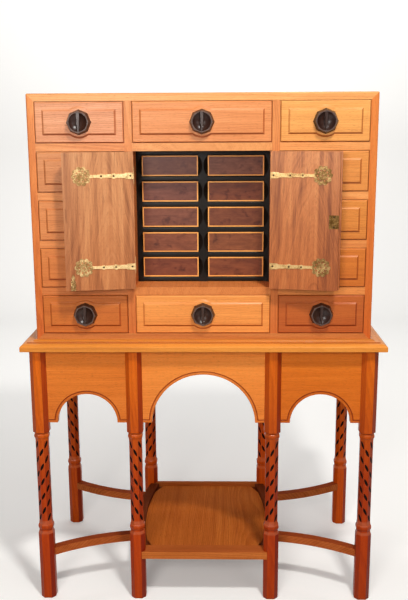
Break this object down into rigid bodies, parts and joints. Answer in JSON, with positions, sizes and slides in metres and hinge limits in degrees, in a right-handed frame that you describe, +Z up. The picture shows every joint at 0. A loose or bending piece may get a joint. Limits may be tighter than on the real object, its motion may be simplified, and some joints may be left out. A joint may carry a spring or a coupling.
{
  "type": "vargueno writing cabinet on stand",
  "caption": "Drawer cabinet with carved octagonal pulls and two strap-hinged doors over a nest of small drawers, on a stand with inlaid legs, arched aprons and a low shelf.",
  "frame": {"origin": "centre of the bounding box on the floor, with both doors open as in the picture", "axes": "+Z up, -Y towards the front of the cabinet, +X to the right seen from the front"},
  "size_m": [0.98, 0.5614, 1.409],
  "materials": {
    "case_wood": "satin, pale orange-tan straight grain",
    "stand_wood": "satin, warm reddish-orange straight grain",
    "pull_wood": "dark brown, worn paler on the rim",
    "door_veneer": "satin walnut with flame figure",
    "burr_veneer": "satin dark burr with pale edge lines",
    "ebonised_wood": "polished black",
    "dark_inlay": "satin dark inlay",
    "brass": "aged satin"
  },
  "bodies": {
    "stand": {"back_apron": "stand_wood", "back_legs": "stand_wood", "base_moulding": "stand_wood", "case_back": "case_wood", "case_dividers": "case_wood", "case_sides": "case_wood", "case_top_and_bottom": "case_wood", "front_apron": "stand_wood", "front_legs": "stand_wood", "hinge_leaves": "brass", "leg_inlay": "dark_inlay", "lower_shelf": "stand_wood", "nest_boards": "case_wood", "nest_frame": "ebonised_wood", "side_aprons": "stand_wood", "stand_top": "stand_wood", "stretchers": "stand_wood"},
    "drawer_left_1": {"drawer_left_1": "case_wood", "pull_left_1": "pull_wood"},
    "drawer_left_2": {"drawer_left_2": "case_wood", "pull_left_2": "pull_wood"},
    "drawer_left_3": {"drawer_left_3": "case_wood", "pull_left_3": "pull_wood"},
    "drawer_left_4": {"drawer_left_4": "case_wood", "pull_left_4": "pull_wood"},
    "drawer_left_5": {"drawer_left_5": "case_wood", "pull_left_5": "pull_wood"},
    "drawer_middle_1": {"drawer_middle_1": "case_wood", "pull_middle_1": "pull_wood"},
    "drawer_middle_5": {"drawer_middle_5": "case_wood", "pull_middle_5": "pull_wood"},
    "drawer_right_1": {"drawer_right_1": "case_wood", "pull_right_1": "pull_wood"},
    "drawer_right_2": {"drawer_right_2": "case_wood", "pull_right_2": "pull_wood"},
    "drawer_right_3": {"drawer_right_3": "case_wood", "pull_right_3": "pull_wood"},
    "drawer_right_4": {"drawer_right_4": "case_wood", "pull_right_4": "pull_wood"},
    "drawer_right_5": {"drawer_right_5": "case_wood", "pull_right_5": "pull_wood"},
    "small_drawer_left_1": {"small_drawer_left_1": "burr_veneer"},
    "small_drawer_left_2": {"small_drawer_left_2": "burr_veneer"},
    "small_drawer_left_3": {"small_drawer_left_3": "burr_veneer"},
    "small_drawer_left_4": {"small_drawer_left_4": "burr_veneer"},
    "small_drawer_left_5": {"small_drawer_left_5": "burr_veneer"},
    "small_drawer_right_1": {"small_drawer_right_1": "burr_veneer"},
    "small_drawer_right_2": {"small_drawer_right_2": "burr_veneer"},
    "small_drawer_right_3": {"small_drawer_right_3": "burr_veneer"},
    "small_drawer_right_4": {"small_drawer_right_4": "burr_veneer"},
    "small_drawer_right_5": {"small_drawer_right_5": "burr_veneer"},
    "left_door": {"left_door": "door_veneer", "left_door_straps": "brass", "door_bolt_plate": "brass"},
    "right_door": {"right_door": "door_veneer", "right_door_straps": "brass", "lock_plate": "brass", "keyhole_escutcheon": "brass"},
    "door_bolt": {"door_bolt": "brass"},
    "lock_bolt": {"lock_bolt": "brass"}
  },
  "joints": [
    {"name": "left_door_hinge", "type": "hinge", "parent": "stand", "child": "left_door", "pos_m": [-0.179, -0.22317, 1.0845], "axis": [0, 0, -1], "range_deg": [-170.5, 0]},
    {"name": "right_door_hinge", "type": "hinge", "parent": "stand", "child": "right_door", "pos_m": [0.179, -0.22317, 1.0845], "axis": [0, 0, 1], "range_deg": [-169, 0]},
    {"name": "door_bolt_slide", "type": "slide", "parent": "left_door", "child": "door_bolt", "axis": [0, 0, -1], "range_m": [0, 0.009]},
    {"name": "lock_bolt_slide", "type": "slide", "parent": "right_door", "child": "lock_bolt", "axis": [0.9816, -0.1908, 0], "range_m": [0, 0.006]},
    {"name": "drawer_left_1_slide", "type": "slide", "parent": "stand", "child": "drawer_left_1", "axis": [0, -1, 0], "range_m": [0, 0.3]},
    {"name": "drawer_left_2_slide", "type": "slide", "parent": "stand", "child": "drawer_left_2", "axis": [0, -1, 0], "range_m": [0, 0.3]},
    {"name": "drawer_left_3_slide", "type": "slide", "parent": "stand", "child": "drawer_left_3", "axis": [0, -1, 0], "range_m": [0, 0.3]},
    {"name": "drawer_left_4_slide", "type": "slide", "parent": "stand", "child": "drawer_left_4", "axis": [0, -1, 0], "range_m": [0, 0.3]},
    {"name": "drawer_left_5_slide", "type": "slide", "parent": "stand", "child": "drawer_left_5", "axis": [0, -1, 0], "range_m": [0, 0.3]},
    {"name": "drawer_middle_1_slide", "type": "slide", "parent": "stand", "child": "drawer_middle_1", "axis": [0, -1, 0], "range_m": [0, 0.3]},
    {"name": "drawer_middle_5_slide", "type": "slide", "parent": "stand", "child": "drawer_middle_5", "axis": [0, -1, 0], "range_m": [0, 0.3]},
    {"name": "drawer_right_1_slide", "type": "slide", "parent": "stand", "child": "drawer_right_1", "axis": [0, -1, 0], "range_m": [0, 0.3]},
    {"name": "drawer_right_2_slide", "type": "slide", "parent": "stand", "child": "drawer_right_2", "axis": [0, -1, 0], "range_m": [0, 0.3]},
    {"name": "drawer_right_3_slide", "type": "slide", "parent": "stand", "child": "drawer_right_3", "axis": [0, -1, 0], "range_m": [0, 0.3]},
    {"name": "drawer_right_4_slide", "type": "slide", "parent": "stand", "child": "drawer_right_4", "axis": [0, -1, 0], "range_m": [0, 0.3]},
    {"name": "drawer_right_5_slide", "type": "slide", "parent": "stand", "child": "drawer_right_5", "axis": [0, -1, 0], "range_m": [0, 0.3]},
    {"name": "small_drawer_left_1_slide", "type": "slide", "parent": "stand", "child": "small_drawer_left_1", "axis": [0, -1, 0], "range_m": [0, 0.27]},
    {"name": "small_drawer_left_2_slide", "type": "slide", "parent": "stand", "child": "small_drawer_left_2", "axis": [0, -1, 0], "range_m": [0, 0.27]},
    {"name": "small_drawer_left_3_slide", "type": "slide", "parent": "stand", "child": "small_drawer_left_3", "axis": [0, -1, 0], "range_m": [0, 0.27]},
    {"name": "small_drawer_left_4_slide", "type": "slide", "parent": "stand", "child": "small_drawer_left_4", "axis": [0, -1, 0], "range_m": [0, 0.27]},
    {"name": "small_drawer_left_5_slide", "type": "slide", "parent": "stand", "child": "small_drawer_left_5", "axis": [0, -1, 0], "range_m": [0, 0.27]},
    {"name": "small_drawer_right_1_slide", "type": "slide", "parent": "stand", "child": "small_drawer_right_1", "axis": [0, -1, 0], "range_m": [0, 0.27]},
    {"name": "small_drawer_right_2_slide", "type": "slide", "parent": "stand", "child": "small_drawer_right_2", "axis": [0, -1, 0], "range_m": [0, 0.27]},
    {"name": "small_drawer_right_3_slide", "type": "slide", "parent": "stand", "child": "small_drawer_right_3", "axis": [0, -1, 0], "range_m": [0, 0.27]},
    {"name": "small_drawer_right_4_slide", "type": "slide", "parent": "stand", "child": "small_drawer_right_4", "axis": [0, -1, 0], "range_m": [0, 0.27]},
    {"name": "small_drawer_right_5_slide", "type": "slide", "parent": "stand", "child": "small_drawer_right_5", "axis": [0, -1, 0], "range_m": [0, 0.27]}
  ],
  "couplings": [
    {"joint": "drawer_left_2_slide", "follows": "left_door_hinge", "m_per_rad": -0.03},
    {"joint": "drawer_left_3_slide", "follows": "left_door_hinge", "m_per_rad": -0.03},
    {"joint": "drawer_left_4_slide", "follows": "left_door_hinge", "m_per_rad": -0.03},
    {"joint": "drawer_right_2_slide", "follows": "right_door_hinge", "m_per_rad": -0.03},
    {"joint": "drawer_right_3_slide", "follows": "right_door_hinge", "m_per_rad": -0.03},
    {"joint": "drawer_right_4_slide", "follows": "right_door_hinge", "m_per_rad": -0.03}
  ]
}
